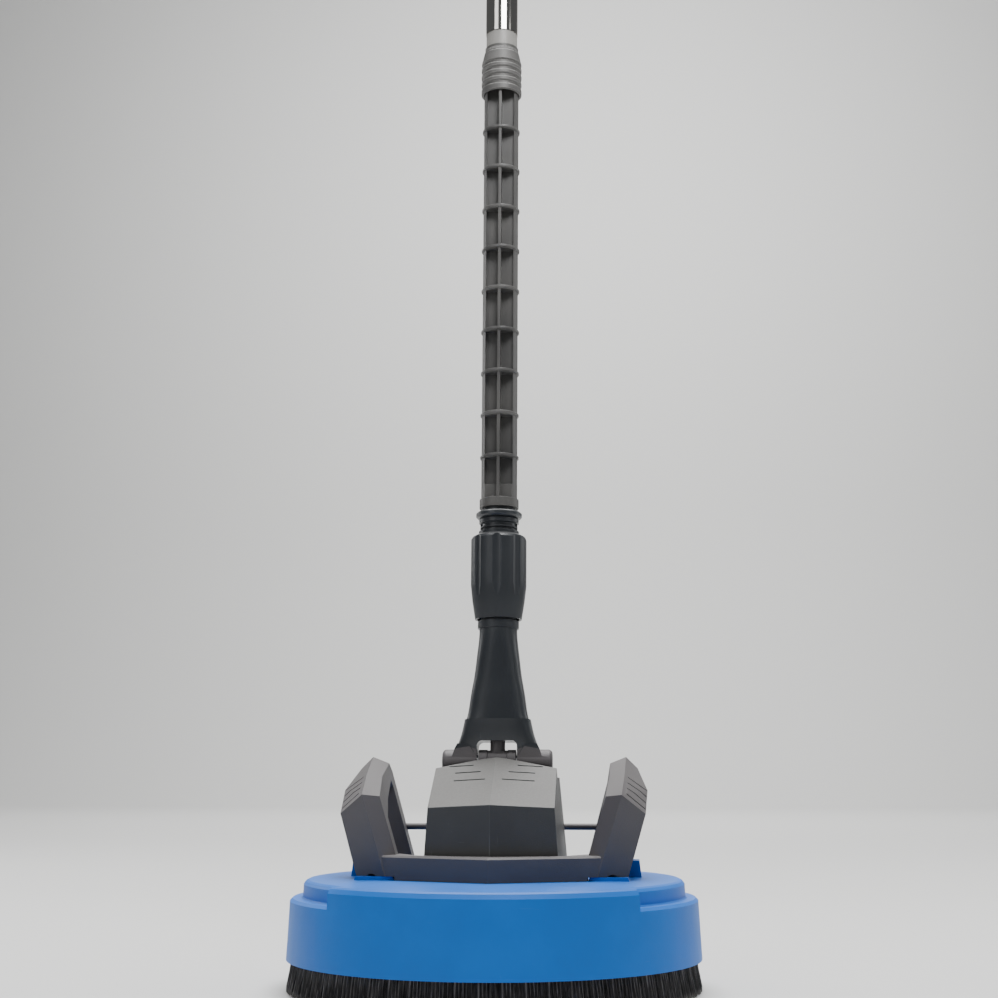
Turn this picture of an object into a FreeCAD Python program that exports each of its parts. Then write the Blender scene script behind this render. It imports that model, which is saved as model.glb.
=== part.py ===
import FreeCAD, Part
import math
import os
import re

import Sketcher
from FreeCAD import Placement, Rotation, Vector

# Rotary surface cleaner. Millimetres, +Z up, the front faces -Y. The origin is on
# the rotor axis, at the floor that the brush skirt stands on. Everything above the
# tilt pivot is drawn straight up along its own axis and then leaned back as one.

SIZES = {
    # hood: a stepped bell with a raised front sector
    "hood_foot_radius": 145.9,
    "hood_band_radius": 143.8,
    "hood_tier_radius": 134.8,
    "hood_foot_height": 22,
    "hood_ledge_height": 64,
    "hood_deck_height": 76.4,
    "hood_wall": 3,
    "hood_draft": 0.5,
    "hood_edge_round": 2,
    "bulge_angle": 91,
    "tab_inner_reach": 95,
    "tab_outer_reach": 104.5,
    "tab_height": 88,
    "tab_length": 22,
    "tab_back": 34,
    "pad_inner_reach": 67,
    "pad_outer_reach": 96,
    "pad_height": 79,
    "pad_front": 32,
    "pad_length": 103,
    # brush skirt
    "brush_ring_height": 8,
    "brush_inner_radius": 131,
    "brush_top_radius": 142.3,
    "brush_tip_radius": 145.8,
    # hub and rotor
    "hub_radius": 22,
    "hub_flange_radius": 34,
    "hub_flange_thickness": 4.6,
    "hub_bottom": 60,
    "hub_top": 110,
    "bearing_outer_radius": 16,
    "bearing_inner_radius": 6,
    "bearing_width": 10,
    "lower_bearing_height": 66,
    "upper_bearing_height": 94,
    "ball_radius": 2.3,
    "ball_circle": 11,
    "water_bore": 2.2,
    "arm_height": 45,
    "arm_radius": 5,
    "arm_bore": 3,
    "arm_reach": 113,
    "nozzle_reach": 116,
    "nozzle_tip_height": 27,
    "rotor_block_length": 44,
    "rotor_block_width": 26,
    "rotor_block_bottom": 34,
    "rotor_block_top": 58,
    # tilt pivot
    "pivot_back": 32,
    "pivot_height": 157.5,
    "axle_radius": 5,
    "running_gap": 0.06,
    "eye_radius": 8.6,
    "eye_half_width": 7,
    "lug_radius": 9,
    "lug_inner": 7.4,
    "lug_outer": 13.6,
    "lean": 4.5,
    # neck
    "neck_wall": 2.4,
    "neck_top": 104,
    "neck_top_radius": 15.4,
    "boss_radius": 9.2,
    "boss_reach": 40.4,
    "arch_half_width": 14.7,
    "arch_top": 15,
    "pipe_radius": 5.5,
    # lock collar and bayonet joint
    "collar_bottom": 105.5,
    "collar_top": 170,
    "collar_radius": 21,
    "collar_bottom_radius": 17.5,
    "socket_radius": 13.5,
    "socket_bore": 9,
    "flange_radius": 17.4,
    # ribbed extension
    "cover_bottom": 190.5,
    "cover_top": 560,
    "cover_radius": 13.7,
    "cover_collar_radius": 14.9,
    "rib_radius": 14.8,
    "rib_thickness": 2.4,
    "rib_first": 230.2,
    "rib_pitch": 33.5,
    "rib_count": 9,
    "web_half": 1.1,
    "pocket_side": 10.6,
    "pocket_floor": 5,
    "core_tube_radius": 4,
    # ribbed lock ring
    "ring_bottom": 529.5,
    "ring_top": 570.5,
    "ring_radius": 16.1,
    "ring_groove_radius": 14.9,
    "ring_pitch": 6.1,
    # upper lance
    "sleeve_radius": 12.4,
    "sleeve_top": 583,
    "lance_radius": 12.9,
    "lance_wall": 1.2,
    "lance_top": 850,
    "plug_radius": 7,
    "plug_length": 22,
}

doc = FreeCAD.newDocument("SurfaceCleaner")
sheet = doc.addObject("Spreadsheet::Sheet", "Sizes")
for row, (alias, number) in enumerate(SIZES.items(), start=1):
    sheet.set(f"A{row}", alias)
    sheet.set(f"B{row}", str(number))
    sheet.setAlias(f"B{row}", alias)
doc.recompute()

parts = []


def bound(text):
    """The expression with every word pointed at its cell of the sheet."""
    return re.sub(r"\b([a-z]\w*)", r"Sizes.\1", str(text))


def size(text):
    """The number, in millimetres or degrees, that an expression of cell names gives."""
    return float(sheet.evalExpression(bound(text)))


def bind(target, **properties):
    """Ties properties of an object to expressions of cell names."""
    for name, text in properties.items():
        target.setExpression(name, bound(text))


def place_at(target, x=0, y=0, z=0):
    """Moves an object by expressions of cell names."""
    for axis, text in zip("xyz", (x, y, z)):
        target.setExpression(f"Placement.Base.{axis}", bound(text))
    return target


def lean_back(target):
    """Sets a piece that was drawn on the lance's own axis onto the leaning pivot."""
    target.Placement = Placement(Vector(0, 0, 0), Rotation(Vector(-1, 0, 0), size("lean")))
    target.setExpression("Placement.Base.y", bound("pivot_back"))
    target.setExpression("Placement.Base.z", bound("pivot_height"))
    target.setExpression("Placement.Rotation.Angle", bound("lean"))
    return target


def keep(target, label):
    """Names a finished sub-part, which is written to its own file."""
    target.Label = label
    parts.append(target)
    return target


# ---- small builders that the sub-parts share


def origin_plane(body, role):
    return next(item for item in body.Origin.OriginFeatures if item.Role == role)


def outline(body, corners, role="XZ_Plane"):
    """A closed sketch of straight sides; each corner is a pair of expressions."""
    sketch = body.newObject("Sketcher::SketchObject", body.Name + "Outline")
    sketch.AttachmentSupport = [(origin_plane(body, role), "")]
    sketch.MapMode = "FlatFace"
    points = [Vector(size(x), size(y), 0) for x, y in corners]
    for number, start in enumerate(points):
        end = points[(number + 1) % len(points)]
        sketch.addGeometry(Part.LineSegment(start, end), False)
    for number in range(len(points)):
        following = (number + 1) % len(points)
        sketch.addConstraint(Sketcher.Constraint("Coincident", number, 2, following, 1))
    for number, (x, y) in enumerate(corners):
        for kind, text in (("DistanceX", x), ("DistanceY", y)):
            rule = Sketcher.Constraint(kind, -1, 1, number, 1, size(text))
            index = sketch.addConstraint(rule)
            sketch.setExpression(f"Constraints[{index}]", bound(text))
    return sketch


def turned(name, corners):
    """A body turned about its own Z axis from an outline of radius and height."""
    body = doc.addObject("PartDesign::Body", name)
    sketch = outline(body, corners)
    feature = body.newObject("PartDesign::Revolution", name + "Turn")
    feature.Profile = sketch
    feature.ReferenceAxis = (sketch, ["V_Axis"])
    feature.Angle = 360
    return body


def cylinder(radius, height, x=0, y=0, z=0, along="z"):
    """A cylinder from x, y, z along one axis; every value is an expression."""
    item = doc.addObject("Part::Cylinder", "Cylinder")
    bind(item, Radius=radius, Height=height)
    turn = {"z": Rotation(), "x": Rotation(Vector(0, 1, 0), 90), "y": Rotation(Vector(1, 0, 0), -90)}
    item.Placement = Placement(Vector(0, 0, 0), turn[along])
    return place_at(item, x, y, z)


def block(length, width, height, x=0, y=0, z=0):
    """A box from its lowest corner; every value is an expression."""
    item = doc.addObject("Part::Box", "Block")
    bind(item, Length=length, Width=width, Height=height)
    return place_at(item, x, y, z)


def join(*items):
    item = doc.addObject("Part::MultiFuse", "Joined")
    item.Shapes = list(items)
    return item


def cut(base, *tools):
    item = doc.addObject("Part::Cut", "CutShape")
    item.Base = base
    item.Tool = tools[0] if len(tools) == 1 else join(*tools)
    return item


def group(*items):
    item = doc.addObject("Part::Compound", "Group")
    item.Links = list(items)
    return item


def ring(outer, inner, height, z=0, x=0, y=0):
    """A flat ring about Z."""
    tall = cylinder(inner, f"{height} + 2", x, y, f"{z} - 1")
    return cut(cylinder(outer, height, x, y, z), tall)


def torus(major, minor, z=0, along="z", x=0, y=0):
    item = doc.addObject("Part::Torus", "Torus")
    bind(item, Radius1=major, Radius2=minor)
    if along == "x":
        item.Placement = Placement(Vector(0, 0, 0), Rotation(Vector(0, 1, 0), 90))
    return place_at(item, x, y, z)


def shape_part(label, shape):
    """A sub-part whose shape comes from lofts or cuts that no feature makes."""
    item = doc.addObject("Part::Feature", label)
    item.Shape = shape
    return item


def flat_face(*corners):
    return Part.Face(Part.makePolygon([*corners, corners[0]]))


# ---- hood, brush and hub


def make_hood():
    """Blow-moulded bell. Its own +X is the front, so it is turned to face -Y."""
    body = turned(
        "Hood",
        [
            ("hood_foot_radius", "hood_foot_height"),
            ("hood_band_radius", "hood_ledge_height - hood_edge_round"),
            ("hood_band_radius - hood_edge_round", "hood_ledge_height"),
            ("hood_tier_radius + 1", "hood_ledge_height"),
            ("hood_tier_radius", "hood_ledge_height + 1"),
            ("hood_tier_radius - hood_draft", "hood_deck_height - 1.5 * hood_edge_round"),
            ("hood_tier_radius - hood_edge_round", "hood_deck_height - hood_edge_round / 2"),
            ("hood_tier_radius - 2 * hood_edge_round", "hood_deck_height"),
            ("hub_radius + 0.1", "hood_deck_height"),
            ("hub_radius + 0.1", "hood_deck_height - hood_wall"),
            ("hood_tier_radius - 2 * hood_wall", "hood_deck_height - hood_wall"),
            ("hood_tier_radius - hood_wall", "hood_ledge_height - hood_wall"),
            ("hood_band_radius - hood_wall", "hood_ledge_height - hood_wall"),
            ("hood_foot_radius - hood_wall", "hood_foot_height"),
        ],
    )
    raised = outline(
        body,
        [
            ("hood_tier_radius - 2 * hood_wall", "hood_ledge_height - hood_wall"),
            ("hood_band_radius - 1", "hood_ledge_height - hood_wall"),
            ("hood_band_radius", "hood_ledge_height - hood_edge_round"),
            ("hood_band_radius - hood_draft", "hood_deck_height - 2 * hood_edge_round"),
            ("hood_band_radius - 1.2 * hood_edge_round", "hood_deck_height - hood_edge_round / 2"),
            ("hood_band_radius - 2.2 * hood_edge_round", "hood_deck_height"),
            ("hood_tier_radius - 2 * hood_wall", "hood_deck_height"),
        ],
    )
    sector = body.newObject("PartDesign::Revolution", "HoodBulge")
    sector.Profile = raised
    sector.ReferenceAxis = (raised, ["V_Axis"])
    sector.Midplane = True
    bind(sector, Angle="bulge_angle")
    hollow = outline(
        body,
        [
            ("hood_tier_radius - 3 * hood_wall", "hood_ledge_height - 2 * hood_wall"),
            ("hood_band_radius - hood_wall", "hood_ledge_height - 2 * hood_wall"),
            ("hood_band_radius - hood_wall - hood_draft", "hood_deck_height - 2 * hood_wall"),
            ("hood_band_radius - 2 * hood_wall", "hood_deck_height - hood_wall"),
            ("hood_tier_radius - 3 * hood_wall", "hood_deck_height - hood_wall"),
        ],
    )
    inside = body.newObject("PartDesign::Groove", "HoodBulgeInside")
    inside.Profile = hollow
    inside.ReferenceAxis = (hollow, ["V_Axis"])
    inside.Midplane = True
    bind(inside, Angle="bulge_angle - 2 * hood_wall / 2.4")
    raised = [
        ("HoodTab", "tab_inner_reach", "tab_outer_reach", "tab_height", "tab_back", "tab_length"),
        ("HoodPad", "pad_inner_reach", "pad_outer_reach", "pad_height", "pad_length - pad_front", "pad_length"),
    ]
    features = []
    for name, inner, outer, height, back, length in raised:
        corners = [
            (inner, "hood_deck_height - 1"),
            (outer, "hood_deck_height - 1"),
            (outer + " - 1.5", height),
            (inner + " + 1.5", height),
        ]
        section = outline(body, corners, "YZ_Plane")
        section.AttachmentOffset = Placement(Vector(0, 0, -size(back)), Rotation())
        section.setExpression("AttachmentOffset.Base.z", bound(f"-({back})"))
        feature = body.newObject("PartDesign::Pad", name)
        feature.Profile = section
        bind(feature, Length=length)
        features.append(feature)
    mirrored = body.newObject("PartDesign::Mirrored", "HoodOtherSide")
    mirrored.Originals = features
    mirrored.MirrorPlane = (origin_plane(body, "XZ_Plane"), [""])
    body.Tip = mirrored
    body.Placement = Placement(Vector(0, 0, 0), Rotation(Vector(0, 0, 1), -90))
    return keep(body, "hood")


def make_brush():
    """The skirt's carrier ring is clipped inside the hood, flush with its rim."""
    carrier = turned(
        "BrushRing",
        [
            ("brush_inner_radius - 1", "hood_foot_height"),
            ("brush_top_radius", "hood_foot_height"),
            ("brush_top_radius", "hood_foot_height + brush_ring_height"),
            ("brush_inner_radius - 1", "hood_foot_height + brush_ring_height"),
        ],
    )
    keep(carrier, "brush_ring")
    bristles = turned(
        "Bristles",
        [
            ("brush_inner_radius + 1", 0),
            ("brush_tip_radius", 0),
            ("brush_top_radius", "hood_foot_height"),
            ("brush_inner_radius", "hood_foot_height"),
        ],
    )
    keep(bristles, "brush_bristles")


def make_hub():
    """Cast hub that hangs in the deck's hole by its flange and holds two bearings."""
    seat_low = "lower_bearing_height + bearing_width"
    hub = turned(
        "Hub",
        [
            ("bearing_outer_radius", "hub_bottom"),
            ("hub_radius", "hub_bottom"),
            ("hub_radius", "hood_deck_height"),
            ("hub_flange_radius", "hood_deck_height"),
            ("hub_flange_radius", "hood_deck_height + hub_flange_thickness"),
            ("hub_radius + 1", "hood_deck_height + hub_flange_thickness"),
            ("hub_radius", "hub_top"),
            ("bearing_outer_radius", "hub_top"),
            ("bearing_outer_radius", "upper_bearing_height"),
            ("bearing_outer_radius - 2", "upper_bearing_height"),
            ("bearing_outer_radius - 2", seat_low),
            ("bearing_outer_radius", seat_low),
        ],
    )
    keep(hub, "bearing_housing")
    heights = ("lower_bearing_height", "upper_bearing_height")
    outer = [ring("bearing_outer_radius", "ball_circle + 2.4", "bearing_width", z) for z in heights]
    keep(group(*outer), "bearing_outer_races")
    inner = [ring("ball_circle - ball_radius", "bearing_inner_radius", "bearing_width", z) for z in heights]
    keep(group(*inner), "bearing_inner_races")
    balls = []
    ball_count = 8
    for z in heights:
        for number in range(ball_count):
            ball = doc.addObject("Part::Sphere", "Ball")
            bind(ball, Radius="ball_radius")
            turn = math.radians(360 / ball_count * number)
            place_at(ball, f"ball_circle * {math.cos(turn):.6f}", f"ball_circle * {math.sin(turn):.6f}",
                     f"{z} + bearing_width / 2")
            balls.append(ball)
    keep(group(*balls), "bearing_balls")
    clip = ring("bearing_outer_radius", "bearing_outer_radius - 2.6", "1.5", "lower_bearing_height - 1.5")
    keep(clip, "bearing_circlip")
    seal = ring("bearing_outer_radius", "bearing_inner_radius + running_gap", "5", "hub_top - 5.5")
    keep(seal, "rotor_seal")


def make_rotor():
    """Hollow shaft, cross block, two arms and a slanted nozzle at each tip."""
    shaft = turned(
        "RotorShaft",
        [
            ("water_bore", "arm_height + arm_radius + 1"),
            ("bearing_inner_radius", "arm_height + arm_radius + 1"),
            ("bearing_inner_radius", "rotor_block_top"),
            ("bearing_inner_radius + 2.4", "rotor_block_top"),
            ("bearing_inner_radius + 2.4", "lower_bearing_height"),
            ("bearing_inner_radius", "lower_bearing_height"),
            ("bearing_inner_radius", "hub_top - 1"),
            ("water_bore", "hub_top - 1"),
        ],
    )
    keep(shaft, "rotor_shaft")
    clip = ring("bearing_inner_radius + 1.6", "bearing_inner_radius - 0.4", "1", "upper_bearing_height - 1")
    keep(clip, "shaft_circlip")
    body = block("rotor_block_length", "rotor_block_width", "rotor_block_top - rotor_block_bottom",
                 "-rotor_block_length / 2", "-rotor_block_width / 2", "rotor_block_bottom")
    shaft_hole = cylinder("bearing_inner_radius", "30", z="arm_height + arm_radius + 1")
    water_hole = cylinder("water_bore", "arm_radius + 2", z="arm_height")
    cross = cylinder("arm_radius", "rotor_block_length + 2", "-rotor_block_length / 2 - 1", 0, "arm_height", "x")
    keep(cut(body, shaft_hole, water_hole, cross), "rotor_block")
    arms = []
    holders = []
    nozzles = []
    for side in (-1, 1):
        start = "arm_radius + 1" if side > 0 else "-arm_reach"
        length = "arm_reach - arm_radius - 1"
        solid = cylinder("arm_radius", length, start, 0, "arm_height", "x")
        bore = cylinder("arm_bore", length + " + 2", start + " - 1", 0, "arm_height", "x")
        arms.append(cut(solid, bore))
        socket_start = "-30" if side > 0 else "0"
        holder = cut(
            cylinder("arm_radius + 3", "20", z="-12"),
            cylinder("arm_radius", "30", socket_start, 0, 0, "x"),
            cylinder("3", "14", z="-13"),
        )
        tip = cut(
            join(cylinder("3", "8", z="-12"), cylinder("4.2", "nozzle_tip_height / 6", z="-16.5")),
            cylinder("0.7", "20", z="-20"),
        )
        slant = Rotation(Vector(1, 0, 0), 15 * side)
        for item, bin_ in ((holder, holders), (tip, nozzles)):
            item.Placement = Placement(Vector(0, 0, 0), slant)
            place_at(item, f"{side} * nozzle_reach", 0, "arm_height")
            bin_.append(item)
    keep(group(*arms), "spray_arms")
    keep(group(*holders), "nozzle_holders")
    keep(group(*nozzles), "spray_nozzles")


# ---- head frame: pivot block, faceted cover and the handle frame


def make_pivot():
    """The block bolted on the hub carries the hollow axle between two lugs."""
    base = cylinder("hub_flange_radius - 10", "6", z="hub_top")
    column = doc.addObject("Part::Feature", "PivotColumn")
    side = [
        Vector(0, -12, size("hub_top + 4")),
        Vector(0, 24, size("hub_top + 4")),
        Vector(0, size("pivot_back + lug_radius"), size("hub_top + 28")),
        Vector(0, size("pivot_back + lug_radius"), size("pivot_height")),
        Vector(0, size("pivot_back - lug_radius"), size("pivot_height")),
        Vector(0, size("pivot_back - lug_radius"), size("pivot_height - 16")),
        Vector(0, 10, size("hub_top + 26")),
        Vector(0, -12, size("hub_top + 16")),
    ]
    face = Part.Face(Part.makePolygon(side + side[:1]))
    column.Shape = face.extrude(Vector(size("2 * lug_outer"), 0, 0))
    column.Placement = Placement(Vector(-size("lug_outer"), 0, 0), Rotation())
    lugs = cylinder("lug_radius", "2 * lug_outer", "-lug_outer", "pivot_back", "pivot_height", "x")
    slot = block("2 * lug_inner", "40", "40", "-lug_inner", "pivot_back - lug_radius - 2", "pivot_height - 10")
    bore = cylinder("axle_radius", "2 * lug_outer + 2", "-lug_outer - 1", "pivot_back", "pivot_height", "x")
    nipple_seat = cylinder("water_bore + 2", "14", z="hub_top - 1")
    ways = []
    low = Vector(0, 0, size("hub_top + 10"))
    for side in (-1, 1):
        high = Vector(side * size("lug_inner + 3"), size("pivot_back"), size("pivot_height"))
        ways.append(Part.makeCylinder(size("water_bore"), (high - low).Length, low, high - low))
    water_ways = shape_part("WaterWays", ways[0].fuse(ways[1]))
    keep(cut(join(base, column, lugs), slot, bore, nipple_seat, water_ways), "pivot_block")

    reach = "boss_reach - 4"
    axle = cut(
        cylinder("axle_radius", f"2 * ({reach})", f"-({reach})", "pivot_back", "pivot_height", "x"),
        cylinder("water_bore", f"2 * ({reach}) - 16", f"-({reach}) + 8", "pivot_back", "pivot_height", "x"),
    )
    keep(axle, "pivot_axle")
    inlet = cut(
        cylinder("water_bore + 2", "14", z="hub_top - 1"),
        cylinder("water_bore", "16", z="hub_top - 2"),
    )
    keep(inlet, "inlet_nipple")


def half_space(corners, outwards):
    """A very large box on the outer side of the plane through three corners."""
    first, second, third = corners
    normal = (second - first).cross(third - first).normalize()
    if normal.dot(outwards) < 0:
        normal = -normal
    reach = 400
    slab = Part.makeBox(2 * reach, 2 * reach, reach, Vector(-reach, -reach, 0))
    slab.Placement = Placement(first, Rotation(Vector(0, 0, 1), normal))
    return slab


COVER_FRONT = -45.4
COVER_CREASE = Vector(0, -43.4, 128.5)
COVER_CREASE_END = COVER_CREASE + Vector(45, 11, -2.8)
COVER_PEAK = Vector(0, 17, 161)
COVER_HALF_WIDTH = 47.3
COVER_BACK = 62
COVER_FOOT = 77
COVER_WALL = 2.6
SLOT_DEPTH = 1.3
SLOT_WIDTH = 1.0
COVER_POSTS = [(-40, -25), (40, -25), (-42.5, 44), (42.5, 44)]


def cover_half(inset):
    """The right half of the faceted cover, every outer face moved in by inset."""
    front = [Vector(0, COVER_FRONT, COVER_FOOT), Vector(46.6, COVER_FRONT + 12.4, COVER_FOOT), COVER_CREASE]
    roof = [COVER_CREASE, COVER_CREASE_END, COVER_PEAK]
    side_foot = Vector(COVER_HALF_WIDTH, COVER_FRONT, COVER_FOOT)
    side = [side_foot, side_foot + Vector(3, 100, 0), side_foot + Vector(-6.7, 0, 100)]
    shoulder = [Vector(45, -42, 125), Vector(43.9, 12, 151.5), Vector(34, 15, 157.6)]
    crown = [COVER_PEAK, Vector(40, 17, 157), Vector(0, 44, 158)]
    back_edge = Vector(0, COVER_BACK, 96)
    back = [back_edge, Vector(50, COVER_BACK - 4, 96), Vector(0, 38, 160)]
    tail = [back_edge, Vector(50, COVER_BACK - 4, 96), Vector(0, COVER_BACK + 2, COVER_FOOT)]
    solid = Part.makeBox(90, 140, 120, Vector(0, -70, COVER_FOOT - (1 if inset else 0)))
    outward = {
        "front": (front, Vector(0.1, -1, 0)),
        "roof": (roof, Vector(0, -0.5, 1)),
        "side": (side, Vector(1, 0, 0)),
        "shoulder": (shoulder, Vector(1, 0, 1)),
        "crown": (crown, Vector(0, 0, 1)),
        "back": (back, Vector(0, 1, 0.5)),
        "tail": (tail, Vector(0, 1, 0)),
    }
    for corners, away in outward.values():
        first, second, third = corners
        normal = (second - first).cross(third - first).normalize()
        if normal.dot(away) < 0:
            normal = -normal
        moved = [corner - normal * inset for corner in corners]
        solid = solid.cut(half_space(moved, away))
    return solid


def both_sides(half):
    """A solid made whole by its mirror image in the plane x = 0."""
    return half.fuse(half.mirror(Vector(0, 0, 0), Vector(1, 0, 0))).removeSplitter()


def make_cover():
    """Faceted cover: gabled roof, saddle for the neck's bosses, six shallow slots."""
    outer = both_sides(cover_half(0))
    inner = both_sides(cover_half(COVER_WALL))
    half = 60
    front = size("pivot_back") - 13.5
    floor = size("pivot_height - boss_radius") - 2
    saddle = Part.makeBox(2 * half, 80, 60, Vector(-half, front, floor))
    around = Part.makeBox(2 * (half + COVER_WALL), 80, 60,
                          Vector(-half - COVER_WALL, front - COVER_WALL, floor - COVER_WALL))
    shell = outer.cut(saddle).cut(inner.cut(around))
    lug_half = size("lug_outer") + 0.6
    window = Part.makeBox(2 * lug_half, 22, 12, Vector(-lug_half, front + 2, floor - 6))
    shell = shell.cut(window)
    for x, y in COVER_POSTS:
        post = Part.makeCylinder(4, 24, Vector(x, y, COVER_FOOT))
        shell = shell.fuse(post.common(outer)).cut(Part.makeCylinder(1.5, 14, Vector(x, y, COVER_FOOT)))
    along = (COVER_CREASE_END - COVER_CREASE).normalize()
    ridge = (COVER_PEAK - COVER_CREASE).normalize()
    outwards = along.cross(ridge).normalize()
    for back, start, end in ((-11, 6, 29), (-1, 10, 29), (8, 16, 34)):
        on_ridge = COVER_CREASE + ridge * ((back - COVER_CREASE.y) / ridge.y)
        corner = on_ridge + along * (start / along.x) - outwards * SLOT_DEPTH
        run = along * ((end - start) / along.x)
        groove = flat_face(corner, corner + run, corner + run + ridge * SLOT_WIDTH, corner + ridge * SLOT_WIDTH)
        groove = groove.extrude(outwards * 2 * SLOT_DEPTH)
        shell = shell.cut(groove).cut(groove.mirror(Vector(0, 0, 0), Vector(1, 0, 0)))
    keep(shape_part("HousingCover", shell), "housing_cover")


HANDLE_FOOT = Vector(78.5, 0, 94)
HANDLE_SPREAD = 16.8
FRAME_FOOT = 79.1
BAR_FOOT = 76.5
BAR_TOP = 93.5
REAR_BAR_TOP = 112
GRIP_SLOT_DEPTH = 3.8
GRIP_SLOT_WIDTH = 1.5


def handle_point(across, back, up):
    """A point of the right handle: across and up lie in its outward-leaning plane."""
    spread = math.radians(HANDLE_SPREAD)
    x = HANDLE_FOOT.x + across * math.cos(spread) + up * math.sin(spread)
    z = HANDLE_FOOT.z + up * math.cos(spread) - across * math.sin(spread)
    return Vector(x, back, z)


# Five corners in each section: ridge, outer edge, outer back, inner back, inner edge.
HANDLE_SECTIONS = [
    [(0, -33.4, -24), (20.4, -25.6, -24), (18.4, -12, -24), (-10.4, -12, -24), (-10.4, -26, -24)],
    [(0, -30, 43), (19.8, -20, 35), (17.4, -9, 21), (-10.4, -9, 23), (-10.4, -21, 38.5)],
    [(-2, 8, 57), (17, 11, 50.5), (13.5, 15, 35), (-10.8, 15, 36), (-12, 10, 52.5)],
    [(-4.5, 46, 69), (6, 47, 63.5), (9, 46, 48.5), (-12.5, 46, 49), (-14.5, 48, 61)],
    [(-3.5, 65, 60), (8, 64, 54), (9.5, 52, 44), (-12, 52, 44), (-13, 64, 55)],
    [(0, 71, -24), (14, 69, -24), (14, 56, -24), (-10.4, 56, -24), (-10.4, 70, -24)],
]


def plan_bar(corners, bottom, top):
    """A bar whose plan is a closed outline of (x, y) corners."""
    points = [Vector(x, y, bottom) for x, y in corners]
    face = Part.Face(Part.makePolygon(points + points[:1]))
    return face.extrude(Vector(0, 0, top - bottom))


def faceted(sections):
    """A solid of flat triangles between sections that have the same corners in turn."""
    faces = []
    for near, far in zip(sections, sections[1:]):
        for number in range(len(near)):
            following = (number + 1) % len(near)
            faces.append(flat_face(near[number], near[following], far[following]))
            faces.append(flat_face(near[number], far[following], far[number]))
    for end in (sections[0], sections[-1]):
        hub = end[0]
        for number in range(1, len(end) - 1):
            faces.append(flat_face(hub, end[number], end[number + 1]))
    solid = Part.Solid(Part.makeShell(faces))
    if solid.Volume < 0:
        solid.reverse()
    return solid


def make_handle_frame():
    """One moulding: a V-shaped front bar, a rear bar and two looped hand grips."""
    loop = faceted([[handle_point(*corner) for corner in section] for section in HANDLE_SECTIONS])
    below = Part.makeBox(400, 400, 60, Vector(-200, -200, FRAME_FOOT - 60))
    loop = loop.cut(below)
    front_edge = [(0, -62), (77, -31.2)]
    half_bar = plan_bar([*front_edge, (84, -14), (66, -10), (54, -28), (50, -32.8), (0, -46.4)], BAR_FOOT, BAR_TOP)
    top_edge = [edge for edge in half_bar.Edges
                if edge.CenterOfMass.z > BAR_TOP - 0.1 and abs(edge.CenterOfMass.x - 38.5) < 0.1]
    half_bar = half_bar.makeChamfer(1.4, top_edge)
    half_bar = half_bar.cut(Part.makeBox(60, 180, 60, Vector(66.8, -90, FRAME_FOOT - 60)))
    foot_rail = plan_bar([(70, -14), (88, -14), (88, 68), (70, 68)], FRAME_FOOT, FRAME_FOOT + 5)
    half_rear = Part.makeCylinder(2.4, 82, Vector(0, 68, REAR_BAR_TOP - 2.4), Vector(1, 0, 0))
    half = loop.fuse(half_bar).fuse(half_rear).fuse(foot_rail)
    for number in range(4):
        share = 0.14 + 0.2 * number
        ridge = handle_point(-3.2 * share, -30 + 50 * share, 43 + 17.5 * share)
        rim = handle_point(19.8 - 4.0 * share, -20 + 40.8 * share, 35 + 19.5 * share)
        start = ridge + (rim - ridge) * 0.16
        end = ridge + (rim - ridge) * 0.98
        along = (end - start).normalize()
        rail = handle_point(-3.2, 20, 60.5) - handle_point(0, -30, 43)
        depth = along.cross(rail).normalize()
        if depth.z > 0:
            depth = -depth
        across = depth.cross(along).normalize()
        corner = start - across * 0.5 - depth * 2
        length = (end - start).Length
        far = corner + along * length
        groove = flat_face(corner, far, far + depth * GRIP_SLOT_DEPTH, corner + depth * GRIP_SLOT_DEPTH)
        half = half.cut(groove.extrude(across * GRIP_SLOT_WIDTH))
    notch = Part.makeCylinder(5, 12, Vector(84, -36, FRAME_FOOT - 3.4), Vector(0, 1, 0))
    half = half.cut(notch)
    keep(shape_part("HandleFrame", both_sides(half)), "handle_frame")


# ---- neck, drawn upright on the lance's own axis from the pivot

# height on the axis, half the width, half the depth
NECK_STATIONS = [
    (30.4, 23.4, 13.5),
    (40, 21.3, 13.5),
    (50, 19.9, 13.6),
    (62, 17.8, 13.9),
    (74, 16.3, 14.3),
    (87, 14.8, 14.8),
    (104, 14.8, 14.8),
]
FORK_STATIONS = [
    (9, 31.2, 9.0),
    (13, 29.3, 10.5),
    (21, 26.6, 12.2),
    (31, 24.4, 13.7),
]


def oval(height, half_width, half_depth, power=2.5, count=28):
    """A closed smooth outline between an ellipse and a rectangle."""
    points = []
    for number in range(count):
        turn = 2 * math.pi * number / count
        x = math.copysign(abs(math.cos(turn)) ** (2 / power), math.cos(turn))
        y = math.copysign(abs(math.sin(turn)) ** (2 / power), math.sin(turn))
        points.append(Vector(half_width * x, half_depth * y, height))
    curve = Part.BSplineCurve()
    curve.interpolate(points, PeriodicFlag=True)
    return Part.Wire([curve.toShape()])


def lofted(stations, inset=0, lift=0):
    """A solid through ovals; the shape turns round towards the top of the neck."""
    wires = []
    for height, half_width, half_depth in stations:
        power = 3.0 - 1.0 * min(1.0, height / 90)
        wires.append(oval(height + lift, half_width - inset, half_depth - inset, power))
    return Part.makeLoft(wires, True, False)


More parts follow.
